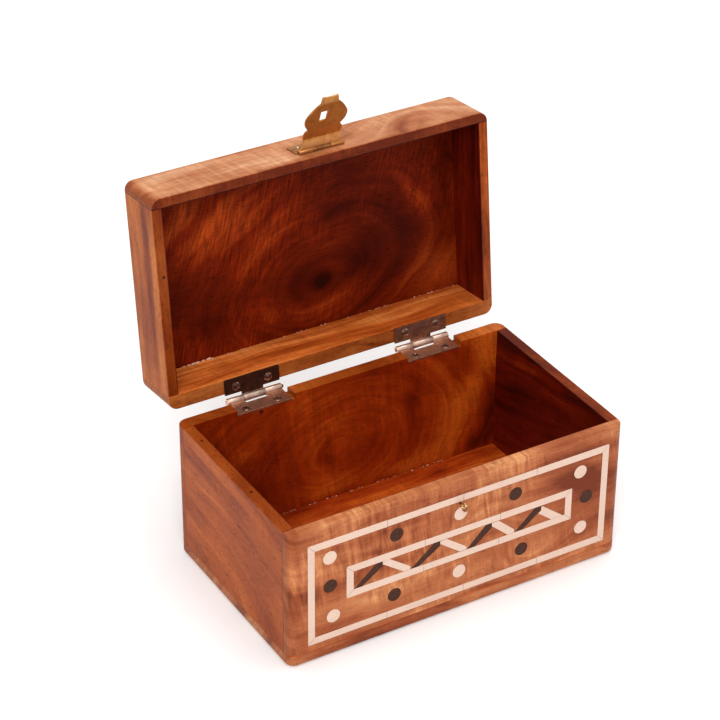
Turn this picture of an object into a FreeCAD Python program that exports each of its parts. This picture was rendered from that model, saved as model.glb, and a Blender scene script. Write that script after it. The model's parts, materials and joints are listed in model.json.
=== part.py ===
import FreeCAD, Part
import math
import os
import Sketcher

# A small wooden box with a hinged lid, a brass hasp and an inlaid front.
# X runs along the box, the front looks along -Y and +Z is up.  The origin is the middle of the base's
# underside.  The lid is drawn shut, then turned open about its hinge axis by its Placement.

DIMENSIONS = [
    ("box_length", 200.0),
    ("box_depth", 119.0),
    ("base_height", 81.8),
    ("lid_height", 34.5),
    ("rim_gap", 0.15),
    ("corner_round", 5.3),
    ("bottom_round", 2.6),
    ("top_round", 4.8),
    ("edge_ease", 0.7),
    ("floor_board", 7.3),
    ("base_front", 6.0),
    ("base_side", 6.4),
    ("back_board", 8.4),
    ("lid_front", 5.5),
    ("lid_side", 5.7),
    ("lid_panel", 7.5),
    ("lid_open", 96.0),
    ("hinge_middle", 0.4),
    ("hinge_spread", 104.2),
    ("hinge_setback", 4.0),
    ("hinge_length", 32.5),
    ("hinge_play", 0.15),
    ("mortise_spare", 1.8),
    ("pin_slip", 1.2),
    ("leaf_reach", 12.4),
    ("leaf_gauge", 1.1),
    ("leaf_offset", 1.7),
    ("barrel_round", 2.0),
    ("middle_knuckle", 12.6),
    ("knuckle_gap", 0.2),
    ("knuckle_slot", 1.7),
    ("knuckle_clear", 0.4),
    ("hinge_pin_round", 0.9),
    ("pin_play", 0.04),
    ("screw_spread", 19.0),
    ("screw_reach", 8.6),
    ("screw_shift", 1.0),
    ("screw_head_round", 2.4),
    ("screw_head_tall", 0.95),
    ("screw_dome_round", 7.0),
    ("screw_shank_round", 0.9),
    ("screw_depth", 10.0),
    ("screw_slot_wide", 0.5),
    ("screw_slot_deep", 0.45),
    ("screw_point", 1.8),
    ("screw_tip_round", 0.15),
    ("hole_play", 0.05),
    ("inlay_depth", 1.5),
    ("inlay_middle", 1.0),
    ("border_length", 180.4),
    ("border_low", 10.8),
    ("border_high", 72.2),
    ("strip_wide", 4.2),
    ("field_length", 136.0),
    ("field_low", 32.4),
    ("field_high", 51.9),
    ("dark_cut", 3.0),
    ("dark_foot", 5.0),
    ("dark_tip", 3.7),
    ("bone_cut", 2.0),
    ("bone_foot", 4.2),
    ("slipped_gap", 0.2),
    ("slipped_back", 1.8),
    ("slipped_start", 1.3),
    ("slipped_drop", 0.7),
    ("slipped_foot", 8.5),
    ("slipped_end", 0.9),
    ("dot_round", 3.9),
    ("hasp_middle", 2.2),
    ("hasp_rise", 7.2),
    ("hasp_proud", 1.45),
    ("hasp_barrel_round", 1.3),
    ("hasp_pin_round", 0.6),
    ("hasp_knuckle", 10.4),
    ("plate_half", 14.4),
    ("plate_tall", 11.4),
    ("plate_gauge", 0.8),
    ("nail_reach", 9.4),
    ("nail_rise", 8.0),
    ("nail_round", 0.5),
    ("nail_depth", 4.5),
    ("nail_head_round", 1.15),
    ("nail_head_tall", 0.6),
    ("nail_dome", 0.48),
    ("tongue_gauge", 0.9),
    ("tongue_lift", 62.5),
    ("tongue_knee", 19.0),
    ("tongue_strap", 7.1),
    ("tongue_curl", 15.0),
    ("tongue_tip", 3.5),
    ("shoulder_half", 13.4),
    ("waist_half", 10.8),
    ("waist_drop", 6.75),
    ("shoulder_arc", 14.0),
    ("neck_half", 9.2),
    ("neck_drop", 13.3),
    ("neck_arc", 5.0),
    ("belly_half", 11.9),
    ("belly_drop", 22.6),
    ("belly_arc", 8.5),
    ("tip_root_half", 5.2),
    ("tip_root_drop", 31.2),
    ("cheek_arc", 28.0),
    ("tip_half", 4.5),
    ("tip_drop", 34.7),
    ("tip_arc", 30.0),
    ("slot_side", 2.0),
    ("slot_drop", 21.9),
    ("slot_wide", 4.1),
    ("slot_long", 6.9),
    ("eye_side", -0.5),
    ("eye_height", 67.1),
    ("eye_proud", 3.6),
    ("eye_ring_round", 2.1),
    ("eye_wire_round", 0.7),
    ("eye_depth", 5.0),
    ("spare", 1.0),
]

doc = FreeCAD.newDocument("inlaid_box")
sheet = doc.addObject("Spreadsheet::Sheet", "dimensions")
for row, (alias, value) in enumerate(DIMENSIONS, start=1):
    sheet.set(f"A{row}", alias)
    sheet.set(f"B{row}", str(value))
    sheet.setAlias(f"B{row}", alias)
doc.recompute()

SIZE = dict(DIMENSIONS)
NODES = []


def expr(text):
    """Turn words of the sheet into references to its cells."""
    words = []
    word = ""
    for letter in text + " ":
        if letter.isalpha() or letter == "_":
            word += letter
            continue
        words.append(f"dimensions.{word}" if word in SIZE else word)
        words.append(letter)
        word = ""
    return "".join(words).strip()


def bind(thing, target, text):
    thing.setExpression(target, expr(text))


def number(text):
    """The present value of an expression in the sheet's words."""
    return float(doc.dimensions.evalExpression(expr(text)))


def node(thing, label):
    thing.Label = label
    NODES.append(thing)
    return thing


def place(thing, x="0", y="0", z="0", axis="1; 0; 0", angle="0", frame=""):
    """Bind a Placement: a turn about an axis through the thing's origin, then a shift, then a frame."""
    own = f"placement(vector({x}; {y}; {z}); rotation(vector({axis}); {angle}))"
    bind(thing, "Placement", f"{frame} * {own}" if frame else own)
    return thing


def frame_about(y, z, angle):
    """A turn about the line along X through y, z."""
    return f"placement(vector(0; 0; 0); rotation(vector(1; 0; 0); {angle}); vector(0; {y}; {z}))"


FRONT = "(-box_depth / 2)"
BACK = "(box_depth / 2)"
LEFT = "(-box_length / 2)"
RIGHT = "(box_length / 2)"
RIM = "(base_height + rim_gap)"
LID_TOP = f"({RIM} + lid_height)"
AXIS_Y = f"({BACK} + hinge_setback)"
AXIS_Z = f"({RIM} - leaf_offset)"
HASP_Y = f"({FRONT} - hasp_proud)"
HASP_Z = f"({RIM} + hasp_rise)"
OPEN = frame_about(AXIS_Y, AXIS_Z, "-lid_open")
LIFTED = f"{OPEN} * {frame_about(HASP_Y, HASP_Z, '-tongue_lift')}"


def block(name, low, high):
    """A Part::Box between two corners given as expressions."""
    thing = doc.addObject("Part::Box", name)
    for side, start, end in zip(("Length", "Width", "Height"), low, high):
        bind(thing, side, f"({end}) - ({start})")
    place(thing, *low)
    return thing


def rod(name, radius, height, x="0", y="0", z="0", axis="1; 0; 0", angle="0"):
    thing = doc.addObject("Part::Cylinder", name)
    bind(thing, "Radius", radius)
    bind(thing, "Height", height)
    return place(thing, x, y, z, axis, angle)


def cut(name, base, tools):
    thing = doc.addObject("Part::Cut", name)
    thing.Base = base
    thing.Tool = tools[0] if len(tools) == 1 else fuse(f"{name}_tools", tools)
    return thing


def fuse(name, things):
    thing = doc.addObject("Part::MultiFuse", name)
    thing.Shapes = things
    return thing


def common(name, base, tool):
    thing = doc.addObject("Part::Common", name)
    thing.Base = base
    thing.Tool = tool
    return thing


def group(label, things):
    """Separate solids that share a node."""
    thing = doc.addObject("Part::Compound", label)
    thing.Links = things
    return node(thing, label)


# ---------------------------------------------------------------- sketches and bodies

def new_body(name):
    body = doc.addObject("PartDesign::Body", name)
    doc.recompute()
    return body


def new_sketch(body, name, role):
    plane = next(item for item in body.Origin.OriginFeatures if item.Role == role)
    sketch = body.newObject("Sketcher::SketchObject", name)
    sketch.AttachmentSupport = [(plane, "")]
    sketch.MapMode = "FlatFace"
    return sketch


def arc_between(start, end, radius, turn):
    """The arc from start to end that bulges to the left (turn 1) or right (turn -1) of the chord.

    A sketch keeps its arcs anticlockwise, so an arc that bulges left is drawn from its end.
    """
    chord = end - start
    half = chord.Length / 2
    drop = radius - math.sqrt(radius * radius - half * half)
    left = FreeCAD.Vector(-chord.y, chord.x, 0).normalize()
    top = (start + end) / 2 + left * (turn * drop)
    return Part.Arc(end, top, start) if turn > 0 else Part.Arc(start, top, end)


def outline(sketch, corners, arcs=None):
    """A closed loop through corners, each an (x, y) pair of expressions.

    arcs maps a side's index to (radius, turn): that side bulges left or right of its chord.
    """
    arcs = arcs or {}
    first = sketch.GeometryCount
    points = [FreeCAD.Vector(number(x), number(y), 0) for x, y in corners]
    ends = []
    for index, start in enumerate(points):
        end = points[(index + 1) % len(points)]
        if index in arcs:
            radius, turn = arcs[index]
            sketch.addGeometry(arc_between(start, end, number(radius), turn), False)
            ends.append((2, 1) if turn > 0 else (1, 2))
        else:
            sketch.addGeometry(Part.LineSegment(start, end), False)
            ends.append((1, 2))
    count = len(points)
    for index in range(count):
        after = (index + 1) % count
        joint = Sketcher.Constraint("Coincident", first + index, ends[index][1],
                                    first + after, ends[after][0])
        sketch.addConstraint(joint)
    for index, (x, y) in enumerate(corners):
        for kind, text, value in (("DistanceX", x, points[index].x), ("DistanceY", y, points[index].y)):
            rule = Sketcher.Constraint(kind, -1, 1, first + index, ends[index][0], value)
            bind(sketch, f"Constraints[{sketch.addConstraint(rule)}]", text)
    for index, (radius, _turn) in arcs.items():
        rule = Sketcher.Constraint("Radius", first + index, number(radius))
        bind(sketch, f"Constraints[{sketch.addConstraint(rule)}]", radius)


def rectangle(sketch, left, low, right, high):
    outline(sketch, [(left, low), (right, low), (right, high), (left, high)])


def circle(sketch, x, y, radius):
    centre = FreeCAD.Vector(number(x), number(y), 0)
    item = sketch.addGeometry(Part.Circle(centre, FreeCAD.Vector(0, 0, 1), number(radius)), False)
    for kind, text, value in (("DistanceX", x, centre.x), ("DistanceY", y, centre.y)):
        rule = Sketcher.Constraint(kind, -1, 1, item, 3, value)
        bind(sketch, f"Constraints[{sketch.addConstraint(rule)}]", text)
    rule = Sketcher.Constraint("Radius", item, number(radius))
    bind(sketch, f"Constraints[{sketch.addConstraint(rule)}]", radius)


def pad(body, sketch, length, middle=False, backwards=False):
    feature = body.newObject("PartDesign::Pad", f"{sketch.Name}_pad")
    feature.Profile = sketch
    bind(feature, "Length", length)
    feature.Midplane = middle
    feature.Reversed = backwards
    doc.recompute()
    return feature


def pocket(body, sketch):
    """Cut a sketch right through, both ways, and make sure that something was cut."""
    before = body.Shape.Volume
    feature = body.newObject("PartDesign::Pocket", f"{sketch.Name}_pocket")
    feature.Profile = sketch
    feature.Type = "ThroughAll"
    feature.Midplane = True
    doc.recompute()
    if body.Shape.Volume >= before:
        raise ValueError(f"{feature.Name} cut nothing")
    return feature


def fillet(body, base, radius, wanted):
    """Round the edges of the base feature for which wanted(edge) is true."""
    names = [f"Edge{i}" for i, edge in enumerate(base.Shape.Edges, start=1) if wanted(edge)]
    feature = body.newObject("PartDesign::Fillet", f"{base.Name}_round")
    feature.Base = (base, names)
    bind(feature, "Radius", radius)
    doc.recompute()
    return feature


def is_upright(edge):
    box = edge.BoundBox
    return box.ZLength > 1.0 and box.XLength < 0.01 and box.YLength < 0.01


def lies_at(height):
    return lambda edge: edge.BoundBox.ZLength < 0.01 and abs(edge.BoundBox.ZMin - height) < 0.01


# ---------------------------------------------------------------- the two rounded blanks

def rounded_blank(name, height, low_round, high_round):
    """The outside of the base or lid: a block with rounded corners and eased edges."""
    body = new_body(name)
    plan = new_sketch(body, f"{name}_plan", "XY_Plane")
    rectangle(plan, LEFT, FRONT, RIGHT, BACK)
    whole = pad(body, plan, height)
    corners = fillet(body, whole, "corner_round", is_upright)
    foot = fillet(body, corners, low_round, lies_at(0.0))
    fillet(body, foot, high_round, lies_at(number(height)))
    return body


base_blank = rounded_blank("base_blank", "base_height", "bottom_round", "edge_ease")
lid_blank = rounded_blank("lid_blank", "lid_height", "edge_ease", "top_round")
place(lid_blank, z=RIM)


# ---------------------------------------------------------------- inlay in the base's front

BORDER_LEFT = "(inlay_middle - border_length / 2)"
BORDER_RIGHT = "(inlay_middle + border_length / 2)"
FIELD_LEFT = "(inlay_middle - field_length / 2)"
FIELD_RIGHT = "(inlay_middle + field_length / 2)"


def inlay_piece(label, corners):
    """A flat piece let into the front face; corners are (x, z) pairs seen from the front."""
    body = new_body(label)
    face = new_sketch(body, f"{label}_face", "XZ_Plane")
    outline(face, corners)
    pad(body, face, "inlay_depth", backwards=True)
    place(body, y=FRONT)
    return node(body, label)


def border(label, left, low, right, high, joints_low, joints_high):
    """A mitred frame of strips; joints are the x places where its long sides are pieced."""
    pieces = []
    inner_left, inner_right = f"{left} + strip_wide", f"{right} - strip_wide"
    inner_low, inner_high = f"{low} + strip_wide", f"{high} - strip_wide"
    for side, outer, inner, joints in (("bottom", low, inner_low, joints_low),
                                       ("top", high, inner_high, joints_high)):
        outer_ends = [left] + [str(x) for x in joints] + [right]
        inner_ends = [inner_left] + [str(x) for x in joints] + [inner_right]
        for index in range(len(joints) + 1):
            corners = [(outer_ends[index], outer), (outer_ends[index + 1], outer),
                       (inner_ends[index + 1], inner), (inner_ends[index], inner)]
            pieces.append(inlay_piece(f"{label}_{side}_{index + 1}", corners))
    pieces.append(inlay_piece(f"{label}_left", [(left, low), (inner_left, inner_low),
                                                (inner_left, inner_high), (left, high)]))
    pieces.append(inlay_piece(f"{label}_right", [(right, low), (inner_right, inner_low),
                                                 (inner_right, inner_high), (right, high)]))
    return pieces


outer_border = border("outer_border", BORDER_LEFT, "border_low", BORDER_RIGHT, "border_high",
                      joints_low=(-43.0, 3.0, 48.5), joints_high=(-43.5, 1.5, 46.0))
inner_border = border("inner_border", FIELD_LEFT, "field_low", FIELD_RIGHT, "field_high",
                      joints_low=(-21.5, 24.0), joints_high=(-21.0, 24.5))

# The zigzag fills the inner border: a dark strip climbs from each foot to the next crest, and a wider
# bone strip comes down from that crest to the next foot.
FIELD_FLOOR = "(field_low + strip_wide)"
FIELD_CEILING = "(field_high - strip_wide)"
FEET = [f"{FIELD_LEFT} + strip_wide", "-29.4", "4.2", "33.4", f"{FIELD_RIGHT} - strip_wide"]
CRESTS = ["-46.0", "-12.0", "19.2", "49.5"]


def fitted_bone(crest, landing):
    """A bone strip that comes down from the ceiling at a crest and stands on the floor at a foot."""
    return [(crest, FIELD_CEILING), (crest, f"{FIELD_CEILING} - bone_cut"),
            (f"{landing} - bone_foot", FIELD_FLOOR), (landing, FIELD_FLOOR),
            (landing, f"{FIELD_FLOOR} + bone_cut"), (f"{crest} + bone_foot", FIELD_CEILING)]


def slipped_bone(foot, crest, landing):
    """The last bone strip sits lower than the others, close beside its dark strip's slanting edge."""
    crest_low = f"({FIELD_CEILING} - dark_cut)"
    slope = f"(({crest_low} - {FIELD_FLOOR}) / ({crest} - {foot} - dark_foot))"
    near = f"({crest} + slipped_gap)"
    return [(near, f"{FIELD_CEILING} - slipped_drop"), (near, crest_low),
            (f"{near} - slipped_back", f"{crest_low} - slipped_back * {slope}"),
            (f"{landing} - slipped_foot", FIELD_FLOOR), (f"{landing} - slipped_end", FIELD_FLOOR),
            (f"{crest} + slipped_start", f"{FIELD_CEILING} - slipped_drop")]


def zigzag():
    pieces = []
    for index, crest in enumerate(CRESTS):
        foot, landing = FEET[index], FEET[index + 1]
        dark = [(foot, FIELD_FLOOR), (f"{foot} + dark_foot", FIELD_FLOOR),
                (crest, f"{FIELD_CEILING} - dark_cut"), (crest, FIELD_CEILING),
                (f"{crest} - dark_tip", FIELD_CEILING)]
        is_last = crest == CRESTS[-1]
        bone = slipped_bone(foot, crest, landing) if is_last else fitted_bone(crest, landing)
        pieces.append(inlay_piece(f"dark_diagonal_{index + 1}", dark))
        pieces.append(inlay_piece(f"bone_diagonal_{index + 1}", bone))
    return pieces


diagonals = zigzag()

# Discs, each an (x, z) place on the front: set by eye by the maker, so not on an exact grid.
BONE_DOTS = [(-76.5, 61.2), (-74.5, 24.5), (0.0, 60.6), (0.0, 24.4), (73.5, 60.6), (75.5, 24.8)]
DARK_DOTS = [(-76.3, 43.8), (-38.0, 61.2), (-38.8, 24.1), (33.2, 61.0), (38.2, 24.4), (78.0, 43.5)]


def discs(label, places, extra="0"):
    return [rod(f"{label}_{i}", f"dot_round + {extra}", "inlay_depth", str(x), f"{FRONT} + inlay_depth",
                str(z), angle="90") for i, (x, z) in enumerate(places, start=1)]


group("bone_dots", discs("bone_dot", BONE_DOTS))
group("dark_dots", discs("dark_dot", DARK_DOTS))
dot_seats = discs("dot_seat", BONE_DOTS + DARK_DOTS, extra="hole_play")


# ---------------------------------------------------------------- boards of the base

def board(label, blank, low, high, cuts=(), frame=""):
    """The part of a blank between two corners, less the things cut out of it."""
    slab = block(f"{label}_slab", low, high)
    thing = common(f"{label}_board", blank, slab)
    if cuts:
        thing = cut(f"{label}_worked", thing, list(cuts))
    if frame:
        place(thing, frame=frame)
    return node(thing, label)


def screw_places(hinge_x):
    return [f"({hinge_x} - screw_spread / 2)", f"({hinge_x} + screw_spread / 2)"]


HINGES = {"left": "(hinge_middle - hinge_spread / 2)", "right": "(hinge_middle + hinge_spread / 2)"}
BASE_SCREW_Y = f"({AXIS_Y} - screw_reach)"
LID_SCREW_Y = {"left": f"({AXIS_Y} - screw_reach + screw_shift)", "right": BASE_SCREW_Y}
LEAF_FLOOR = f"({AXIS_Z} - leaf_offset)"


def screw_hole(name, x, y, z):
    return rod(name, "screw_shank_round + hole_play", "screw_depth + spare", x, y, z)


mortises = []
base_screw_holes = []
lid_screw_holes = []
for side, hinge_x in HINGES.items():
    mortises.append(block(f"{side}_mortise", (f"{hinge_x} - hinge_length / 2 - hinge_play",
                                              f"{BACK} - back_board - spare", LEAF_FLOOR),
                          (f"{hinge_x} + hinge_length / 2 + mortise_spare", f"{BACK} + spare",
                           "base_height + spare")))
    for index, x in enumerate(screw_places(hinge_x), start=1):
        base_screw_holes.append(screw_hole(f"{side}_base_hole_{index}", x, BASE_SCREW_Y,
                                           f"{LEAF_FLOOR} - screw_depth"))
        lid_screw_holes.append(screw_hole(f"{side}_lid_hole_{index}", x, LID_SCREW_Y[side],
                                          f"{RIM} - spare"))

eye_hole = rod("eye_hole", "eye_wire_round + hole_play", "eye_depth + spare", "eye_side",
               f"{FRONT} + eye_depth", "eye_height", angle="90")

board("base_bottom", base_blank, (LEFT, FRONT, "0"), (RIGHT, BACK, "floor_board"))
board("base_front_wall", base_blank, (LEFT, FRONT, "floor_board"),
      (RIGHT, f"{FRONT} + base_front", "base_height"),
      outer_border + inner_border + diagonals + dot_seats + [eye_hole])
board("base_back_wall", base_blank, (LEFT, f"{BACK} - back_board", "floor_board"),
      (RIGHT, BACK, "base_height"), mortises + base_screw_holes)
board("base_left_wall", base_blank, (LEFT, f"{FRONT} + base_front", "floor_board"),
      (f"{LEFT} + base_side", f"{BACK} - back_board", "base_height"))
board("base_right_wall", base_blank, (f"{RIGHT} - base_side", f"{FRONT} + base_front", "floor_board"),
      (RIGHT, f"{BACK} - back_board", "base_height"))


# ---------------------------------------------------------------- boards of the lid

NAILS = {"left": "(hasp_middle - nail_reach)", "right": "(hasp_middle + nail_reach)"}
NAIL_Z = f"({HASP_Z} + nail_rise)"
nail_holes = [rod(f"{side}_nail_hole", "nail_round + hole_play", "nail_depth + spare", x,
                  f"{FRONT} + nail_depth", NAIL_Z, angle="90") for side, x in NAILS.items()]

board("lid_front_wall", lid_blank, (LEFT, FRONT, RIM), (RIGHT, f"{FRONT} + lid_front", LID_TOP),
      nail_holes, OPEN)
board("lid_back_wall", lid_blank, (LEFT, f"{BACK} - back_board", RIM), (RIGHT, BACK, LID_TOP),
      lid_screw_holes, OPEN)
board("lid_left_wall", lid_blank, (LEFT, f"{FRONT} + lid_front", RIM),
      (f"{LEFT} + lid_side", f"{BACK} - back_board", LID_TOP), frame=OPEN)
board("lid_right_wall", lid_blank, (f"{RIGHT} - lid_side", f"{FRONT} + lid_front", RIM),
      (RIGHT, f"{BACK} - back_board", LID_TOP), frame=OPEN)
board("lid_top_panel", lid_blank,
      (f"{LEFT} + lid_side", f"{FRONT} + lid_front", f"{LID_TOP} - lid_panel"),
      (f"{RIGHT} - lid_side", f"{BACK} - back_board", LID_TOP), frame=OPEN)


# ---------------------------------------------------------------- butt hinges

def hinge_leaf(label, knuckles_outside, screw_back):
    """A leaf that lies along -Y from its barrel on the X axis, with its outer face underneath."""
    body = new_body(f"{label}_body")
    profile = new_sketch(body, f"{label}_profile", "YZ_Plane")
    rectangle(profile, "-leaf_reach", "-leaf_offset", "0", "leaf_gauge - leaf_offset")
    pad(body, profile, "hinge_length", middle=True)
    barrel = new_sketch(body, f"{label}_barrel", "YZ_Plane")
    circle(barrel, "0", "0", "barrel_round")
    pad(body, barrel, "hinge_length", middle=True)
    gaps = new_sketch(body, f"{label}_gaps", "XY_Plane")
    middle_end = "(middle_knuckle / 2)"
    leaf_end = "(hinge_length / 2 + spare)"
    near = "(-barrel_round - knuckle_slot)"
    far = "(barrel_round + spare)"
    if knuckles_outside:
        rectangle(gaps, f"-{middle_end} - knuckle_gap", near, f"{middle_end} + knuckle_gap", far)
    else:
        rectangle(gaps, f"-{leaf_end}", near, f"-{middle_end}", far)
        rectangle(gaps, middle_end, near, leaf_end, far)
    pocket(body, gaps)
    bore = new_sketch(body, f"{label}_bore", "YZ_Plane")
    circle(bore, "0", "0", "hinge_pin_round + pin_play")
    pocket(body, bore)
    seats = []
    for index, screw_x in enumerate(("-screw_spread / 2", "screw_spread / 2"), start=1):
        seats.append(screw_seat(f"{label}_seat_{index}", screw_x, f"-({screw_back})"))
    return node(cut(label, body, seats), label)


def screw_seat(name, x, y):
    """The hole and countersink that a screw fills, with its mouth on the leaf's inner face."""
    sink = doc.addObject("Part::Cone", f"{name}_sink")
    bind(sink, "Radius1", "screw_shank_round")
    bind(sink, "Radius2", "screw_head_round")
    bind(sink, "Height", "screw_head_tall")
    place(sink, x, y, "leaf_gauge - leaf_offset - screw_head_tall")
    hole = rod(f"{name}_hole", "screw_shank_round + hole_play", "leaf_gauge + spare", x, y,
               "-leaf_offset - spare")
    return fuse(name, [sink, hole])


def screw(name, x, y, face_z, inwards, slot_turn, frame=""):
    """A slotted screw with a low domed head in face_z; inwards is 1 for a screw that points up, else -1."""
    seat = f"placement(vector({x}; {y}; {face_z}); rotation(vector(1; 0; 0); {90 - 90 * inwards}))"
    head = doc.addObject("Part::Cone", f"{name}_head")
    bind(head, "Radius1", "screw_head_round - hole_play")
    bind(head, "Radius2", "screw_shank_round")
    bind(head, "Height", "screw_head_tall - hole_play")
    dome = doc.addObject("Part::Sphere", f"{name}_dome")
    bind(dome, "Radius", "screw_dome_round")
    dome.Angle1 = -90
    bind(dome, "Angle2", "-acos((screw_head_round - hole_play) / screw_dome_round)")
    place(dome, z="sqrt(screw_dome_round ^ 2 - (screw_head_round - hole_play) ^ 2)")
    shank = rod(f"{name}_shank", "screw_shank_round", "screw_depth - screw_point")
    point = doc.addObject("Part::Cone", f"{name}_point")
    bind(point, "Radius1", "screw_shank_round")
    bind(point, "Radius2", "screw_tip_round")
    bind(point, "Height", "screw_point")
    place(point, z="screw_depth - screw_point")
    solid = fuse(f"{name}_solid", [head, dome, shank, point])
    slot_low = ("-screw_head_round", "-screw_slot_wide / 2", "-spare")
    slot = block(f"{name}_slot", slot_low, ("screw_head_round", "screw_slot_wide / 2", "screw_slot_deep"))
    turn = f"placement(vector(0; 0; 0); rotation(vector(0; 0; 1); {slot_turn}))"
    place(slot, *slot_low, frame=turn)
    thing = cut(name, solid, [slot])
    return place(thing, frame=f"{frame} * {seat}" if frame else seat)


SLOT_TURNS = {"left": (20, 75, -35, 10), "right": (-50, 15, 60, -20)}

PIN_SLIP = {"left": "pin_slip", "right": "0"}

for side, hinge_x in HINGES.items():
    base_leaf = hinge_leaf(f"{side}_hinge_base_leaf", True, "screw_reach")
    place(base_leaf, hinge_x, AXIS_Y, AXIS_Z)
    lid_leaf = hinge_leaf(f"{side}_hinge_lid_leaf", False, f"{AXIS_Y} - {LID_SCREW_Y[side]}")
    place(lid_leaf, hinge_x, AXIS_Y, AXIS_Z, axis="0; 1; 0", angle="180", frame=OPEN)
    pin = rod(f"{side}_hinge_pin", "hinge_pin_round", "hinge_length",
              f"{hinge_x} - hinge_length / 2 + {PIN_SLIP[side]}", AXIS_Y, AXIS_Z, axis="0; 1; 0", angle="90")
    node(pin, f"{side}_hinge_pin")
    turns = SLOT_TURNS[side]
    face_low = f"({AXIS_Z} - leaf_offset + leaf_gauge)"
    face_high = f"({AXIS_Z} + leaf_offset - leaf_gauge)"
    group(f"{side}_hinge_base_screws",
          [screw(f"{side}_base_screw_{i + 1}", x, BASE_SCREW_Y, face_low, -1, turns[i])
           for i, x in enumerate(screw_places(hinge_x))])
    group(f"{side}_hinge_lid_screws",
          [screw(f"{side}_lid_screw_{i + 1}", x, LID_SCREW_Y[side], face_high, 1, turns[i + 2], OPEN)
           for i, x in enumerate(screw_places(hinge_x))])


# ---------------------------------------------------------------- hasp and eye
# The hasp is drawn about its own pin, which lies on the X axis: the box's front is towards +Y and the
# tongue hangs along -Z.

def lifted_sketch(body, name, height):
    """A sketch parallel to the front of the box, at a distance towards it from the hasp's pin."""
    sketch = new_sketch(body, name, "XZ_Plane")
    bind(sketch, "AttachmentOffset.Base.z", f"-({height})")
    return sketch


def hasp_barrel(body, label, half_length):
    barrel = new_sketch(body, f"{label}_barrel", "YZ_Plane")
    circle(barrel, "0", "0", "hasp_barrel_round")
    pad(body, barrel, f"2 * ({half_length})", middle=True)


def hasp_bore(body, label):
    bore = new_sketch(body, f"{label}_bore", "YZ_Plane")
    circle(bore, "0", "0", "hasp_pin_round + pin_play")
    pocket(body, bore)


def hasp_plate():
    """The nailed plate; its lower edge rolls round the pin between the tongue's two knuckles."""
    label = "hasp_plate"
    body = new_body(label)
    sheet_face = lifted_sketch(body, f"{label}_face", "hasp_proud - plate_gauge")
    half = "(hasp_knuckle / 2)"
    edge = "(hasp_barrel_round + knuckle_clear)"
    outline(sheet_face, [("-plate_half", edge), (f"-{half}", edge), (f"-{half}", "0"), (half, "0"),
                         (half, edge), ("plate_half", edge), ("plate_half", "plate_tall"),
                         ("-plate_half", "plate_tall")])
    pad(body, sheet_face, "plate_gauge", backwards=True)
    hasp_barrel(body, label, half)
    hasp_bore(body, label)
    holes = new_sketch(body, f"{label}_holes", "XZ_Plane")
    for nail_x in ("-nail_reach", "nail_reach"):
        circle(holes, nail_x, "nail_rise", "nail_round + hole_play")
    pocket(body, holes)
    return body


def sheet_corner(y, z, lean_before, lean_after, side):
    """A corner of the tongue's sheet where its lean from upright changes; side is 1 outside, -1 inside."""
    half = f"{side} * tongue_gauge / 2"
    middle = f"(({lean_before}) + ({lean_after})) / 2"
    turn = f"(({lean_before}) - ({lean_after})) / 2"
    return (f"{y} - {half} * cos({middle}) / cos({turn})", f"{z} + {half} * sin({middle}) / cos({turn})")


def tongue_profile():
    """The side of the tongue: a strap that leans out, a knee, the flat face, and a tip that curls out."""
    knee = ("(-tongue_strap * sin(tongue_knee))", "(-tongue_strap * cos(tongue_knee))")
    curl = (knee[0], "(-tip_drop + tongue_tip * cos(tongue_curl))")
    tip = (f"({knee[0]} - tongue_tip * sin(tongue_curl))", "(-tip_drop - spare)")
    line = [("0", "0", "tongue_knee", "tongue_knee"), (*knee, "tongue_knee", "0"),
            (*curl, "0", "tongue_curl"), (*tip, "tongue_curl", "tongue_curl")]
    inside = [sheet_corner(*corner, -1) for corner in line]
    outside = [sheet_corner(*corner, 1) for corner in reversed(line)]
    return inside + outside


def hasp_tongue():
    """The swinging tongue: wide shoulders, a waist, a nipped neck, a belly with the slot, a small tip."""
    label = "hasp_tongue"
    body = new_body(label)
    side_view = new_sketch(body, f"{label}_side", "YZ_Plane")
    outline(side_view, tongue_profile())
    pad(body, side_view, "2 * shoulder_half", middle=True)
    front_view = new_sketch(body, f"{label}_front", "XZ_Plane")
    right = [("shoulder_half", "0"), ("waist_half", "-waist_drop"), ("neck_half", "-neck_drop"),
             ("belly_half", "-belly_drop"), ("tip_root_half", "-tip_root_drop"), ("tip_half", "-tip_drop")]
    left = [(f"-{x}", y) for x, y in reversed(right)]
    half_arcs = [("shoulder_arc", -1), ("neck_arc", 1), ("belly_arc", 1), ("cheek_arc", 1)]
    arcs = dict(enumerate(half_arcs))
    arcs[len(right) - 1] = ("tip_arc", -1)
    arcs.update({2 * len(right) - 2 - index: arc for index, arc in enumerate(half_arcs)})
    outline(front_view, right + left, arcs)
    rectangle(front_view, "-2 * shoulder_half", "-2 * tip_drop", "2 * shoulder_half", "2 * spare")
    pocket(body, front_view)
    hasp_barrel(body, label, "shoulder_half")
    gap = new_sketch(body, f"{label}_gap", "XZ_Plane")
    half = "(hasp_knuckle / 2 + knuckle_gap)"
    reach = "(hasp_barrel_round + knuckle_clear)"
    rectangle(gap, f"-{half}", f"-{reach}", half, reach)
    pocket(body, gap)
    hasp_bore(body, label)
    slot = new_sketch(body, f"{label}_slot", "XZ_Plane")
    rectangle(slot, "-slot_side - slot_wide / 2", "-slot_drop - slot_long / 2",
              "-slot_side + slot_wide / 2", "-slot_drop + slot_long / 2")
    pocket(body, slot)
    return body


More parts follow.
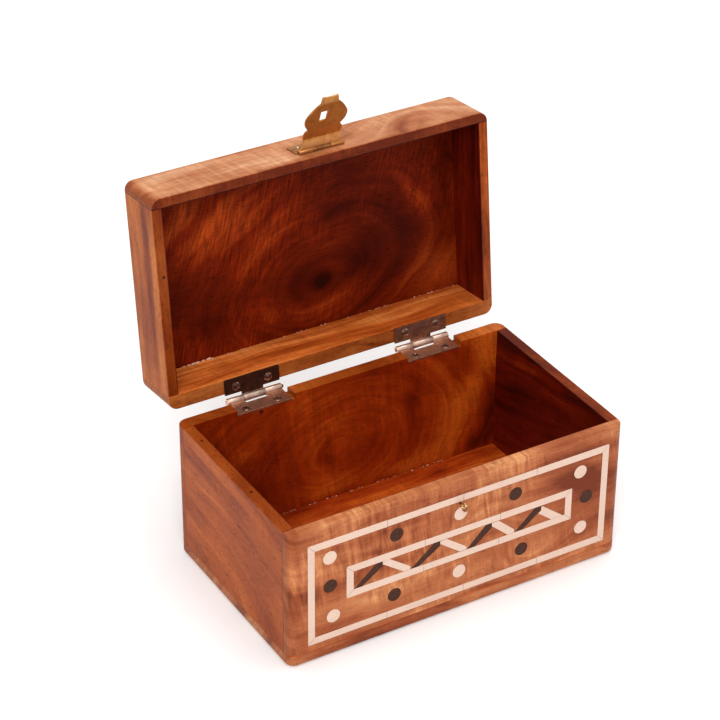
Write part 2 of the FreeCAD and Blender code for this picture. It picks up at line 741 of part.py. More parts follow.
plate = node(hasp_plate(), "hasp_plate")
place(plate, "hasp_middle", HASP_Y, HASP_Z, frame=OPEN)
tongue = node(hasp_tongue(), "hasp_tongue")
place(tongue, "hasp_middle", HASP_Y, HASP_Z, frame=LIFTED)
hasp_pin = rod("hasp_pin", "hasp_pin_round", "2 * shoulder_half")
place(hasp_pin, "hasp_middle - shoulder_half", HASP_Y, HASP_Z, axis="0; 1; 0", angle="90", frame=OPEN)
node(hasp_pin, "hasp_pin")


def nail(name, x):
    """A small round-headed nail through the plate into the lid's front wall."""
    shank = rod(f"{name}_shank", "nail_round", "nail_depth + plate_gauge + nail_head_tall / 2")
    head = rod(f"{name}_head", "nail_head_round", "nail_head_tall", z="nail_depth + plate_gauge")
    doc.recompute()
    dome = doc.addObject("Part::Fillet", f"{name}_dome")
    dome.Base = head
    top = [i for i, edge in enumerate(head.Shape.Edges, start=1)
           if lies_at(number("nail_depth + plate_gauge + nail_head_tall"))(edge)]
    soft = number("nail_dome")
    dome.Edges = [(i, soft, soft) for i in top]
    thing = fuse(name, [shank, dome])
    return place(thing, x, f"{FRONT} + nail_depth", NAIL_Z, angle="90", frame=OPEN)


group("hasp_nails", [nail(f"{side}_nail", x) for side, x in NAILS.items()])


def screw_eye():
    """A wire ring that stands on edge on a shank screwed into the front wall."""
    ring = doc.addObject("Part::Torus", "eye_ring")
    bind(ring, "Radius1", "eye_ring_round")
    bind(ring, "Radius2", "eye_wire_round")
    place(ring, "eye_side", f"{FRONT} - eye_proud", "eye_height", axis="0; 1; 0", angle="90")
    shank = rod("eye_shank", "eye_wire_round", "eye_depth + eye_proud - eye_ring_round", "eye_side",
                f"{FRONT} + eye_depth", "eye_height", angle="90")
    return fuse("screw_eye", [ring, shank])


node(screw_eye(), "screw_eye")


# ---------------------------------------------------------------- check and write

doc.recompute()
for thing in doc.Objects:
    if {"Invalid", "Error"} & set(thing.State):
        raise ValueError(f"{thing.Name}: {thing.State}")
labels = [thing.Label for thing in NODES]
if len(labels) != len(set(labels)):
    raise ValueError("two sub-parts share a label")
for thing in NODES:
    if thing.Shape.isNull() or not thing.Shape.isValid() or not thing.Shape.Solids:
        raise ValueError(f"{thing.Label} has no valid solid")

os.makedirs("parts", exist_ok=True)
for thing in NODES:
    thing.Shape.exportStep(f"parts/{thing.Label}.step")
    box = thing.Shape.BoundBox
    print(f"{thing.Label}: {len(thing.Shape.Solids)} solid, {thing.Shape.Volume:.1f} mm3, "
          f"x {box.XMin:.1f} {box.XMax:.1f}, y {box.YMin:.1f} {box.YMax:.1f}, z {box.ZMin:.1f} {box.ZMax:.1f}")
print(len(NODES), "sub-parts")
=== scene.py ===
import json
import math
import random

import bmesh
import bpy
from mathutils import Matrix, Vector


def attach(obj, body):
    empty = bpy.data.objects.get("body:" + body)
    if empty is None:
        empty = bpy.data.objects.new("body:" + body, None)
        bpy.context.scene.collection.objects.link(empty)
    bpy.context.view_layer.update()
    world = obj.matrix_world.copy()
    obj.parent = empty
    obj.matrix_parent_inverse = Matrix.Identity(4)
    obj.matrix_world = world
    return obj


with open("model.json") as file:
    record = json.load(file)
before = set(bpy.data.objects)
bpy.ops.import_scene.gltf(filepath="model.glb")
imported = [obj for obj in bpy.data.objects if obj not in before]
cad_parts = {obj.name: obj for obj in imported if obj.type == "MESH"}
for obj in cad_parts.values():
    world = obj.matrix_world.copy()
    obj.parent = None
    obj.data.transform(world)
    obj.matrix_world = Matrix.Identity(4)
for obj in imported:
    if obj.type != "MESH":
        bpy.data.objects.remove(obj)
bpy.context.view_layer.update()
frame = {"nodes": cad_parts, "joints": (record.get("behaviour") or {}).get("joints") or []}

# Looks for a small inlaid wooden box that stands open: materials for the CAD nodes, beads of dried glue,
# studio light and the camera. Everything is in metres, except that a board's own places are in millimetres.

MM = 0.001
NODES = frame["nodes"]
JOINTS = {joint["name"]: joint for joint in frame["joints"]}
HINGE = Vector(JOINTS["lid_hinge"]["pos_m"])
HASP = Vector(JOINTS["hasp_tongue_hinge"]["pos_m"])

# The lid is open at rest. SHUT turns a point of the open lid to its place on the shut box.
LID_OPEN = math.radians(JOINTS["lid_hinge"]["range_deg"][1])
SHUT = Matrix.Translation(HINGE) @ Matrix.Rotation(LID_OPEN, 4, "X") @ Matrix.Translation(-HINGE)


def lid_turn(in_lid):
    """The turn that takes a node from rest to its place on the shut box."""
    return SHUT if in_lid else Matrix.Identity(4)


def shut_box(name, in_lid):
    """Lowest and highest corner of a CAD node with the lid turned shut, in metres."""
    turn = lid_turn(in_lid)
    points = [turn @ vertex.co for vertex in NODES[name].data.vertices]
    low = Vector(min(point[i] for point in points) for i in range(3))
    high = Vector(max(point[i] for point in points) for i in range(3))
    return low, high


# ---------------------------------------------------------------- node webs

def colour(red, green, blue):
    """An opaque linear colour from 0-255 display values."""
    def linear(value):
        share = value / 255
        return share / 12.92 if share <= 0.04045 else ((share + 0.055) / 1.055) ** 2.4
    return (linear(red), linear(green), linear(blue), 1.0)


class Web:
    """A material under construction. Its methods add nodes and return their output sockets."""

    def __init__(self, name):
        self.material = bpy.data.materials.new(name)
        self.material.use_nodes = True
        self.tree = self.material.node_tree
        self.tree.nodes.clear()

    def feed(self, socket, value):
        """Link a socket to an input, or set the input to a fixed value."""
        if isinstance(value, bpy.types.NodeSocket):
            self.tree.links.new(value, socket)
        else:
            socket.default_value = value

    def add(self, kind, inputs=None, **settings):
        """Add a node and return the node itself."""
        node = self.tree.nodes.new(kind)
        for key, value in settings.items():
            setattr(node, key, value)
        for key, value in (inputs or {}).items():
            self.feed(node.inputs[key], value)
        return node

    def coordinates(self):
        """The place on the object, in metres."""
        return self.add("ShaderNodeTexCoord").outputs["Object"]

    def math(self, operation, *values, clamp=False):
        inputs = dict(enumerate(values))
        return self.add("ShaderNodeMath", inputs, operation=operation, use_clamp=clamp).outputs[0]

    def times(self, first, second):
        return self.math("MULTIPLY", first, second)

    def times_plus(self, first, second, third, clamp=False):
        """first x second + third."""
        return self.math("MULTIPLY_ADD", first, second, third, clamp=clamp)

    def minus(self, first, second):
        return self.math("SUBTRACT", first, second)

    def centred(self, noise):
        """A noise that runs about 0.5, moved to run about 0."""
        return self.minus(noise, 0.5)

    def vector(self, x, y, z):
        return self.add("ShaderNodeCombineXYZ", {0: x, 1: y, 2: z}).outputs[0]

    def split(self, vector):
        node = self.add("ShaderNodeSeparateXYZ", {0: vector})
        return node.outputs[0], node.outputs[1], node.outputs[2]

    def scaled(self, vector, x, y, z):
        return self.add("ShaderNodeMapping", {"Vector": vector, "Scale": (x, y, z)}).outputs[0]

    def noise(self, vector, scale=1.0, detail=2.0, rough=0.5, bend=0.0):
        inputs = {"Vector": vector, "Scale": scale, "Detail": detail, "Roughness": rough, "Distortion": bend}
        return self.add("ShaderNodeTexNoise", inputs).outputs["Fac"]

    def remap(self, value, low, high, to_low=0.0, to_high=1.0, smooth=False):
        """Take the stretch low..high to to_low..to_high, and hold the ends outside it."""
        kind = "SMOOTHSTEP" if smooth else "LINEAR"
        inputs = {0: value, 1: low, 2: high, 3: to_low, 4: to_high}
        return self.add("ShaderNodeMapRange", inputs, interpolation_type=kind).outputs[0]

    def mix(self, share, first, second, blend="MIX"):
        node = self.add("ShaderNodeMix", data_type="RGBA", blend_type=blend)
        for index, value in ((0, share), (6, first), (7, second)):
            self.feed(node.inputs[index], value)
        return node.outputs[2]

    def dimmed(self, shade, gain):
        """A colour times a number."""
        return self.mix(1.0, shade, self.vector(gain, gain, gain), "MULTIPLY")

    def ramp(self, value, stops):
        node = self.add("ShaderNodeValToRGB", {0: value})
        elements = node.color_ramp.elements
        while len(elements) < len(stops):
            elements.new(0.5)
        for element, (place, shade) in zip(elements, stops):
            element.position = place
            element.color = shade
        return node.outputs[0]

    def bump(self, height, depth, strength):
        """Relief that is depth millimetres deep for a height of 1."""
        inputs = {"Height": height, "Distance": depth * MM, "Strength": strength}
        return self.add("ShaderNodeBump", inputs).outputs[0]

    def finish(self, **inputs):
        """Close the web with a Principled shader. Input names have _ for each space."""
        named = {key.replace("_", " "): value for key, value in inputs.items()}
        shader = self.add("ShaderNodeBsdfPrincipled", named)
        end = self.tree.nodes.new("ShaderNodeOutputMaterial")
        self.tree.links.new(shader.outputs[0], end.inputs[0])
        return self.material


# ---------------------------------------------------------------- where a board's wood is

# How a board lies in the shut box. The rows are the ways along its grain, across it, and through the board.
ALONG_X_UPRIGHT = Matrix(((1, 0, 0), (0, 0, 1), (0, -1, 0)))
ALONG_X_LYING = Matrix(((1, 0, 0), (0, 1, 0), (0, 0, 1)))
ALONG_Y_UPRIGHT = Matrix(((0, 1, 0), (0, 0, 1), (1, 0, 0)))
BOX_MIDDLE = Vector((0.0, 0.0, 0.05))

# A mask goes from 0 to 1 between two values of what it is made from. A scale is per millimetre along the
# grain, across it and through the board: a small one makes a pattern long that way.
END_GRAIN_MASK = (0.55, 0.95)
RIM_MASK = (0.5, 0.8)
FRAY_SCALE = (0.7, 0.12, 0.12)
FRAY_REACH = 0.9
INNER_SKIN = 0.5


class Board:
    """A board's place nodes, in millimetres of the shut box: along the grain, across it, and through.

    Its masks are end_grain, on the sawn ends; rim, on the edge where base and lid meet, with a frayed
    border, which gets painted shade; and inner, on the face that looks into the box.
    """

    def __init__(self, web, name, axes, in_lid):
        self.web = web
        low, high = shut_box(name, in_lid)
        middle = axes @ (low + high) / 2
        whole = axes.to_4x4() @ Matrix.Scale(1 / MM, 4) @ lid_turn(in_lid)
        whole = Matrix.Translation((0.0, 0.0, -middle.z / MM)) @ whole
        source = web.add("ShaderNodeTexCoord")
        self.normal = source.outputs["Normal"]
        self.set_place(source.outputs["Object"], whole)
        self.set_facing_masks(whole.to_3x3().normalized(), in_lid)
        inwards = 1.0 if (axes @ BOX_MIDDLE - middle).z > 0 else -1.0
        half = abs((axes @ (high - low)).z) / MM / 2
        depth = web.times(self.through, inwards)
        self.inner = web.remap(depth, half - INNER_SKIN, half - INNER_SKIN / 2, smooth=True)

    def set_place(self, source, whole):
        inputs = {"Vector": source, "Location": whole.to_translation(), "Rotation": whole.to_euler(),
                  "Scale": (1 / MM, 1 / MM, 1 / MM)}
        place = self.web.add("ShaderNodeMapping", inputs).outputs[0]
        self.along, self.across, self.through = self.web.split(place)

    def facing(self, way):
        """How much the surface faces a way, from -1 to 1."""
        node = self.web.add("ShaderNodeVectorMath", {0: self.normal, 1: way}, operation="DOT_PRODUCT")
        return node.outputs["Value"]

    def set_facing_masks(self, ways, in_lid):
        web = self.web
        endways = web.math("ABSOLUTE", self.facing(ways.row[0]))
        self.end_grain = web.remap(endways, *END_GRAIN_MASK, smooth=True)
        upright = web.times(self.facing(ways.row[1]), -1.0 if in_lid else 1.0)
        frayed = web.noise(self.stretched(FRAY_SCALE), detail=3.0, rough=0.7)
        upright = web.times_plus(web.centred(frayed), FRAY_REACH, upright)
        self.rim = web.remap(upright, *RIM_MASK, smooth=True)

    def stretched(self, scale):
        """The board's place times a scale for each way."""
        web = self.web
        return web.vector(web.times(self.along, scale[0]), web.times(self.across, scale[1]),
                          web.times(self.through, scale[2]))

    def hill(self, spot):
        """A round rise of height 1 at a spot: (along, across, reach along, reach across)."""
        along, across, reach_along, reach_across = spot
        web = self.web
        u = web.times(web.minus(self.along, along), 1 / reach_along)
        v = web.times(web.minus(self.across, across), 1 / reach_across)
        square = web.times_plus(u, u, web.times(v, v))
        return web.math("EXPONENT", web.times(square, -1.0))

    def pin_knot(self, spot):
        """A ball-shaped knot: (along, across, through from the board's middle, radius)."""
        *middle, radius = spot
        places = (self.along, self.across, self.through)
        offset = self.web.vector(*(self.web.minus(place, value) for place, value in zip(places, middle)))
        distance = self.web.add("ShaderNodeVectorMath", {0: offset}, operation="LENGTH").outputs["Value"]
        return self.web.remap(distance, radius * KNOT_RIM, radius * KNOT_CORE, smooth=True)


# ---------------------------------------------------------------- wood

# A pin knot is full inside KNOT_CORE of its radius, and gone at KNOT_RIM of it.
KNOT_CORE = 0.5
KNOT_RIM = 1.3
KNOT_DEPTH = 0.85
KNOT_HEART = colour(34, 12, 6)

# Square millimetres that are added to the square of the distance from an eye, so that its middle is blunt.
EYE_BLUNTNESS = 4.0

# How fast the patterns change, per millimetre.
SWELL_THROUGH = 0.02
STREAK_THROUGH = 0.05
BAND_DRIFT = 0.011
MOTTLE_SCALE = (0.022, 0.03)
FIBRE_SCALE = (0.08, 1.5, 1.5)
PORE_SCALE = (0.3, 1.7, 1.7)

# Steps between the places in the noise that the boards and their patterns are taken from.
SEED_STEP = 37.0
BAND_SEED = 5.0
LINE_SEED = 9.0

PORE_MASK = (0.6, 0.7)
STREAK_ZONE_MASK = (0.36, 0.6)
STREAK_SWING = (0.35, 0.66)
END_GRAIN_SHADE = 0.2
# The rim faces are multiplied by this dark red: painted shade.
RIM_PAINTED_SHADE = (0.42, 0.2, 0.08, 1.0)
WOOD_ROUGH = 0.34
MOTTLE_ROUGH = 0.16
PORE_ROUGH = 0.15


def growth_field(web, board, stock, shift):
    """The depth in growth rings, in millimetres: straight boards, bent by slow swells, hills and an eye."""
    place = web.vector(web.times(board.along, 1 / stock["warp_along"]),
                       web.times(board.across, 1 / stock["warp_across"]),
                       web.times_plus(board.through, SWELL_THROUGH, shift))
    swell = web.centred(web.noise(place, detail=2.5, rough=0.55))
    field = board.across
    if stock["eye"]:
        along, across, stretch, lean, pull = stock["eye"]
        v = web.minus(board.across, across)
        u = web.times(web.minus(board.along, along), 1 / stretch)
        u = web.times_plus(v, lean, u)
        ring = web.math("SQRT", web.times_plus(u, u, web.times_plus(v, v, EYE_BLUNTNESS)))
        field = web.times_plus(board.across, 1.0 - pull, web.times(ring, pull))
    field = web.times_plus(swell, stock["warp"], field)
    field = web.times_plus(board.along, stock["slope"], field)
    field = web.times_plus(board.through, stock["tilt"], field)
    for *spot, rise in stock["hills"]:
        field = web.times_plus(board.hill(spot), rise, field)
    return field


def ring_noise(web, field, drift, width, place, detail, rough):
    """Uneven bands of a width in millimetres that follow the growth rings and change slowly along them."""
    return web.noise(web.vector(web.times(field, 1 / width), drift, place), detail=detail, rough=rough)


def cross_streaks(web, board, stock, shift):
    """Pale cross figure, as short silky streaks that run across the grain."""
    lean = web.times_plus(board.across, stock["streak_lean"], board.along)
    place = web.vector(web.times(lean, 1 / stock["streak_wide"]),
                       web.times_plus(board.across, 1 / stock["streak_tall"], shift),
                       web.times(board.through, STREAK_THROUGH))
    return web.noise(place, detail=4.0, rough=0.6, bend=0.6)


def wood(name, axes, in_lid, stock, seed):
    """Board stock: growth bands, silky cross figure, mottling, spots, pores, fibre and pin knots, with
    painted shade on the rim faces and, through the darker inner palettes, inside the box.
    """
    web = Web(f"wood_{name}")
    board = Board(web, name, axes, in_lid)
    shift = seed * SEED_STEP

    field = growth_field(web, board, stock, shift)
    drift = web.times(board.along, BAND_DRIFT)
    bands = ring_noise(web, field, drift, stock["band"], shift + BAND_SEED, detail=3.0, rough=0.6)
    lines = ring_noise(web, field, drift, stock["line"], shift + LINE_SEED, detail=2.0, rough=0.5)
    mottle_place = web.vector(web.times(board.along, MOTTLE_SCALE[0]),
                              web.times(board.across, MOTTLE_SCALE[1]), shift)
    mottle = web.noise(mottle_place, detail=3.0, rough=0.6)
    cross = cross_streaks(web, board, stock, shift)
    zone = web.remap(mottle, *STREAK_ZONE_MASK, smooth=True)
    for *spot, change in stock["streak_spots"]:
        zone = web.times_plus(board.hill(spot), change, zone, clamp=True)

    # Tone runs along the palettes, from dark to light.
    tone = web.times_plus(web.centred(lines), stock["line_depth"], bands)
    tone = web.times_plus(web.times(web.centred(cross), zone), stock["streak_tone"], tone)
    tone = web.times_plus(web.centred(mottle), stock["mottle"], tone)
    for *spot, change in stock["spots"]:
        tone = web.times_plus(board.hill(spot), change, tone)
    tone = web.remap(tone, 0.5 - stock["spread"], 0.5 + stock["spread"])
    outer = web.ramp(tone, list(zip(RAMP_PLACES, stock["outer"])))
    inner = web.ramp(tone, list(zip(RAMP_PLACES, stock["inner"])))
    # Inside the box the inner palette takes over; where it is darker than the outer one, it paints the shade
    # inside the box.
    shade = web.mix(board.inner, outer, inner)

    # Gain makes that colour lighter or darker.
    swing = web.remap(cross, *STREAK_SWING, -stock["streak_dark"], stock["streak_light"])
    fibre = web.noise(board.stretched(FIBRE_SCALE), detail=3.0, rough=0.7)
    pores = web.remap(web.noise(board.stretched(PORE_SCALE), detail=1.0, rough=0.5), *PORE_MASK)
    gain = web.times_plus(swing, zone, 1.0)
    gain = web.times_plus(web.centred(fibre), stock["fibre"], gain)
    gain = web.times_plus(pores, -stock["pores"], gain)
    gain = web.times_plus(board.end_grain, -END_GRAIN_SHADE, gain)
    shade = web.dimmed(shade, gain)
    # Painted shade on the rim faces where base and lid meet.
    shade = web.mix(web.times(board.rim, stock["rim"]), shade, RIM_PAINTED_SHADE, "MULTIPLY")
    for spot in stock["knots"]:
        shade = web.mix(web.times(board.pin_knot(spot), KNOT_DEPTH), shade, KNOT_HEART)

    relief = web.times_plus(pores, -1.0, web.times(fibre, 0.5))
    rough = web.times_plus(pores, PORE_ROUGH, web.times_plus(mottle, MOTTLE_ROUGH, WOOD_ROUGH))
    return web.finish(Base_Color=shade, Roughness=rough, Specular_IOR_Level=stock["gleam"],
                      Normal=web.bump(relief, depth=0.08, strength=0.7))


# Palettes, from dark to light, and where their four colours stand on a ramp.
RAMP_PLACES = (0.0, 0.3, 0.62, 1.0)
TAN = (colour(110, 46, 20), colour(152, 78, 44), colour(182, 110, 68), colour(214, 156, 104))
RUSSET = (colour(106, 36, 6), colour(138, 58, 12), colour(164, 78, 24), colour(188, 102, 42))
GOLDEN = (colour(108, 40, 8), colour(142, 64, 18), colour(172, 92, 34), colour(194, 118, 56))
PALE = (colour(140, 70, 36), colour(172, 102, 62), colour(194, 132, 92), colour(220, 170, 132))
ORANGE = (colour(116, 48, 12), colour(148, 72, 26), colour(172, 94, 40), colour(194, 120, 60))
# DEEP_RED, DEEP_BROWN, UMBER and AMBER serve the faces inside the box: their darkness is painted shade of the
# box's inside.
DEEP_RED = (colour(48, 6, 1), colour(76, 11, 2), colour(98, 19, 3), colour(128, 38, 7))
DEEP_BROWN = (colour(76, 14, 1), colour(116, 28, 2), colour(144, 44, 5), colour(182, 78, 18))
CHESTNUT = (colour(78, 26, 6), colour(106, 42, 12), colour(130, 58, 22), colour(152, 76, 34))
UMBER = (colour(44, 6, 1), colour(74, 14, 2), colour(98, 24, 3), colour(132, 48, 12))
WARM = (colour(134, 44, 8), colour(178, 80, 26), colour(212, 110, 46), colour(232, 146, 76))
AMBER = (colour(106, 24, 3), colour(154, 50, 9), colour(186, 80, 20), colour(212, 110, 40))

# What a board's wood looks like. Lengths are in millimetres; places are those of the shut box, first along
# the board and then across it.
#   outer, inner    palettes outside the box and inside it; a darker inner palette is painted shade inside the box
#   eye             (along, across, stretch, lean, pull) of rings about a knot
#   hills           (along, across, reach along, reach across, rise) of bends in the growth bands
#   spots           (along, across, reach along, reach across, change) of lighter or darker tone
#   streak_spots    the same, for where the cross figure is stronger or weaker
#   knots           (along, across, through from the middle, radius)
#   warp            how far the swells bend the growth bands; warp_along and warp_across are their size
#   slope, tilt     how fast the growth bands rise along the board and through it
#   band, line      widths of the broad and the fine growth bands
#   spread          half of the range of tone that the palette covers: less is more contrast
#   streak_...      size, lean and strength of the cross figure: on the light side, the dark side and the tone
#   line_depth, mottle, fibre, pores    strengths of the fine bands, cloudy mottling, fibre and pores
#   rim, gleam      strength of the painted shade on the faces where base and lid meet, and of the shine
PLAIN = {
    "outer": RUSSET, "inner": DEEP_RED,
    "eye": None, "hills": (), "spots": (), "streak_spots": (), "knots": (),
    "warp": 24.0, "warp_along": 90.0, "warp_across": 45.0, "slope": 0.0, "tilt": 0.6,
    "band": 15.0, "line": 1.7, "line_depth": 0.2, "mottle": 0.45, "spread": 0.26,
    "streak_wide": 3.2, "streak_tall": 26.0, "streak_lean": 0.12, "streak_light": 0.16, "streak_dark": 0.12,
    "streak_tone": 0.0, "fibre": 0.6, "pores": 0.42, "rim": 0.18, "gleam": 0.1,
}


def stock_like(**changes):
    """Plain stock with some changes."""
    made = dict(PLAIN)
    made.update(changes)
    return made


# For each board: how it lies, whether it belongs to the lid, and its wood.
BOARDS = {
    "base_front_wall": (ALONG_X_UPRIGHT, False, stock_like(
        outer=TAN, band=17.0, mottle=0.4, warp=16.0, line_depth=0.14, fibre=0.3, pores=0.3, rim=0.0,
        spread=0.3,
        hills=((44.0, 20.0, 24.0, 13.0, 24.0), (20.0, 34.0, 14.0, 30.0, -8.0)),
        spots=((74.0, 44.0, 34.0, 34.0, -0.26), (-34.0, 10.0, 22.0, 9.0, 0.04),
               (-2.0, 8.0, 18.0, 7.0, 0.03), (70.0, 56.0, 7.0, 4.0, -0.12),
               # the spot at (-30, 83) lightens a band along the top edge: a painted highlight on the eased
               # edge
               (-30.0, 83.0, 90.0, 4.0, 0.08), (-40.0, 10.0, 60.0, 16.0, -0.05),
               (-76.0, 34.0, 9.0, 9.0, -0.1), (-96.0, 40.0, 7.0, 60.0, -0.12)),
        streak_light=0.13, streak_dark=0.12, streak_wide=3.4, streak_tall=24.0, streak_tone=0.55,
        streak_spots=((-25.0, 62.0, 60.0, 26.0, 0.8), (75.0, 35.0, 35.0, 40.0, -0.7),
                      (-40.0, 12.0, 60.0, 14.0, -0.4)))),
    "base_left_wall": (ALONG_Y_UPRIGHT, False, stock_like(
        slope=-0.12, eye=(42.0, 14.0, 2.2, 0.3, 0.45), band=12.0, warp=12.0, mottle=0.3, line_depth=0.22,
        spread=0.34, rim=0.35,
        spots=((0.0, 69.0, 60.0, 5.0, -0.14), (-42.0, 12.0, 14.0, 10.0, -0.2)),
        streak_light=0.06, streak_dark=0.06,
        knots=((36.4, 81.8, 0.0, 0.9), (-16.4, 81.8, 0.0, 1.0)))),
    "base_right_wall": (ALONG_Y_UPRIGHT, False, stock_like(
        slope=0.2, band=12.0, line_depth=0.3, rim=0.5, spots=((0.0, 82.0, 70.0, 4.0, -0.16),))),
    "base_back_wall": (ALONG_X_UPRIGHT, False, stock_like(
        inner=DEEP_BROWN, eye=(-9.0, 42.0, 1.4, -0.2, 0.8), band=14.0, warp=16.0, tilt=0.4, spread=0.3,
        spots=((91.0, 76.0, 8.0, 14.0, 0.3), (81.0, 56.0, 8.0, 15.0, 0.2),
               (70.0, 36.0, 10.0, 14.0, 0.18), (59.0, 20.0, 14.0, 12.0, 0.2),
               (38.0, 11.0, 22.0, 7.0, 0.2), (-6.0, 16.0, 46.0, 8.0, 0.14),
               (72.0, 50.0, 34.0, 46.0, 0.14), (-20.0, 60.0, 60.0, 26.0, 0.08),
               (-46.0, 58.0, 12.0, 20.0, -0.14), (40.0, 54.0, 5.0, 14.0, -0.16),
               # the last two spots darken the bottom of the right-hand end: painted shadow in the corner
               (92.0, 28.0, 7.0, 24.0, -0.3), (84.0, 12.0, 10.0, 8.0, -0.25)),
        streak_light=0.3, streak_dark=0.16,
        streak_spots=((-75.0, 62.0, 12.0, 24.0, 0.9), (76.0, 50.0, 14.0, 34.0, 0.8)),
        knots=((-54.0, 77.0, 4.2, 1.4),))),
    "base_bottom": (ALONG_X_LYING, False, stock_like(
        outer=TAN, inner=AMBER, rim=0.0, line_depth=0.3, spots=((30.0, 30.0, 50.0, 30.0, -0.04),))),
    "lid_front_wall": (ALONG_X_UPRIGHT, True, stock_like(
        outer=PALE, band=14.0, line_depth=0.12, fibre=0.4, pores=0.3, rim=1.0,
        hills=((66.0, 100.0, 32.0, 22.0, -30.0),),
        spots=((76.0, 98.0, 30.0, 30.0, 0.05), (-78.0, 100.0, 26.0, 20.0, 0.1),
               (0.0, 80.2, 200.0, 2.4, -0.35), (-100.0, 98.0, 4.0, 60.0, -0.4)),
        streak_light=0.16, streak_dark=0.08, streak_wide=2.8, streak_tone=0.2,
        streak_spots=((-50.0, 95.0, 60.0, 30.0, 0.8),))),
    "lid_back_wall": (ALONG_X_UPRIGHT, True, stock_like(
        inner=WARM, outer=ORANGE, mottle=0.4, line_depth=0.5, line=2.2, band=9.0, rim=0.35)),
    "lid_left_wall": (ALONG_Y_UPRIGHT, True, stock_like(
        outer=GOLDEN, streak_light=0.06, streak_dark=0.05, warp=10.0, rim=0.85,
        spots=((0.0, 92.0, 60.0, 4.5, -0.3), (60.0, 100.0, 30.0, 20.0, 0.05)),
        knots=((-16.6, 82.0, 0.6, 1.0),))),
    "lid_right_wall": (ALONG_Y_UPRIGHT, True, stock_like(rim=0.0, line=1.3, line_depth=0.5)),
    "lid_top_panel": (ALONG_X_LYING, True, stock_like(
        outer=CHESTNUT, inner=UMBER, eye=(9.0, 25.0, 1.35, 0.25, 0.9), warp=20.0, band=12.0, line=1.9,
        mottle=0.4, spread=0.34, gleam=0.03,
        spots=((9.0, 26.0, 10.0, 7.0, -0.3), (12.0, 24.0, 22.0, 14.0, -0.08),
               (-60.0, 33.0, 24.0, 12.0, -0.14), (36.0, 18.0, 13.0, 18.0, -0.2),
               (58.0, -8.0, 12.0, 24.0, -0.06), (-52.0, -22.0, 36.0, 24.0, 0.22),
               (82.0, 36.0, 20.0, 18.0, 0.3), (88.0, -20.0, 8.0, 24.0, -0.2),
               (-20.0, 38.0, 60.0, 8.0, 0.1), (40.0, -30.0, 60.0, 14.0, -0.12)),
        streak_wide=1.3, streak_tall=14.0, streak_lean=0.3, streak_light=1.0, streak_dark=0.2,
        streak_spots=((-48.0, -24.0, 40.0, 26.0, 0.9), (45.0, 24.0, 60.0, 36.0, -0.8)),
        knots=((7.4, 28.4, -3.5, 1.3), (9.0, 25.6, -3.5, 1.6)))),
}


# ---------------------------------------------------------------- inlay

# Scales of the patterns along x, y and z, per metre.
BONE_STREAKS = (260.0, 900.0, 1300.0)
BONE_FLECKS = (1500.0, 1500.0, 2100.0)
DARK_GRAIN = (500.0, 500.0, 2200.0)

SIDE_MASK = (0.97, 0.84)


def off_front(web):
    """1 where a surface doesn't face forwards: the eased edges and sides of an inlaid piece."""
    normal = web.add("ShaderNodeTexCoord").outputs["Normal"]
    forward = web.math("ABSOLUTE", web.split(normal)[1])
    return web.remap(forward, *SIDE_MASK)


def bone():
    """Polished bone: cream, with faint streaks along the strip, pores and brown glue in the joints."""
    web = Web("bone")
    source = web.coordinates()
    cloud = web.noise(source, scale=55.0, detail=3.0)
    streak = web.noise(web.scaled(source, *BONE_STREAKS), detail=2.0, rough=0.6)
    fleck = web.remap(web.noise(web.scaled(source, *BONE_FLECKS), detail=1.0), 0.64, 0.76)
    shade = web.mix(cloud, colour(210, 178, 160), colour(222, 194, 176))
    shade = web.mix(web.times(web.remap(streak, 0.5, 0.75), 0.4), shade, colour(206, 170, 148))
    shade = web.mix(web.times(fleck, 0.4), shade, colour(142, 96, 68))
    shade = web.mix(off_front(web), shade, colour(60, 26, 14))
    return web.finish(Base_Color=shade, Roughness=0.4, Specular_IOR_Level=0.3,
                      Normal=web.bump(streak, depth=0.02, strength=0.4))


def dark_inlay():
    """Dark hardwood inlay with a fine grain and dots of pores."""
    web = Web("dark_inlay")
    source = web.coordinates()
    grain = web.noise(web.scaled(source, *DARK_GRAIN), detail=2.0, rough=0.6)
    pores = web.remap(web.noise(source, scale=1700.0, detail=1.0), 0.58, 0.7)
    shade = web.mix(web.remap(grain, 0.35, 0.65), colour(48, 22, 12), colour(78, 42, 26))
    shade = web.mix(web.times(pores, 0.6), shade, colour(26, 12, 8))
    return web.finish(Base_Color=shade, Roughness=0.45, Specular_IOR_Level=0.14,
                      Normal=web.bump(grain, depth=0.03, strength=0.5))


# ---------------------------------------------------------------- metal

# Scales of the fine scratches, per metre: low along the way that the metal was brushed.
ALONG_X_BRUSH = (300.0, 3600.0, 3600.0)
ACROSS_X_BRUSH = (3600.0, 300.0, 300.0)
EVEN_BRUSH = (900.0, 900.0, 900.0)

STAIN_MASK = (0.38, 0.66)
SPECK_MASK = (0.62, 0.74)
SPECK_DEPTH = 0.35
SPECK_COLOUR = colour(52, 30, 20)
ZONE_STAINED = 0.35
SCRATCH_CONTRAST = 0.4
METAL_ROUGHENING = 0.16

# Sleeves about a line along X that have a tone of their own, which is a painted highlight on the knuckles and
# the
# strap: (line y, line z, from, to, blur, colour), the line in metres, and from, to and blur in millimetres
# from it.
# The knuckles get a light, clean tone: a painted highlight on the barrels.
KNUCKLE_HIGHLIGHT = (HINGE.y, HINGE.z, -1.0, 2.05, 0.15, colour(232, 204, 186))
# The strap of the hasp tongue, between the barrel and its bend, gets a lighter tone: a painted highlight.
STRAP_HIGHLIGHT = (HASP.y, HASP.z, 0.8, 6.4, 1.1, colour(208, 154, 96))
BARREL = (HASP.y, HASP.z, -2.0, 1.0, 0.25, colour(196, 142, 84))
TIP = (HASP.y, HASP.z, 30.5, 60.0, 1.0, colour(196, 138, 78))


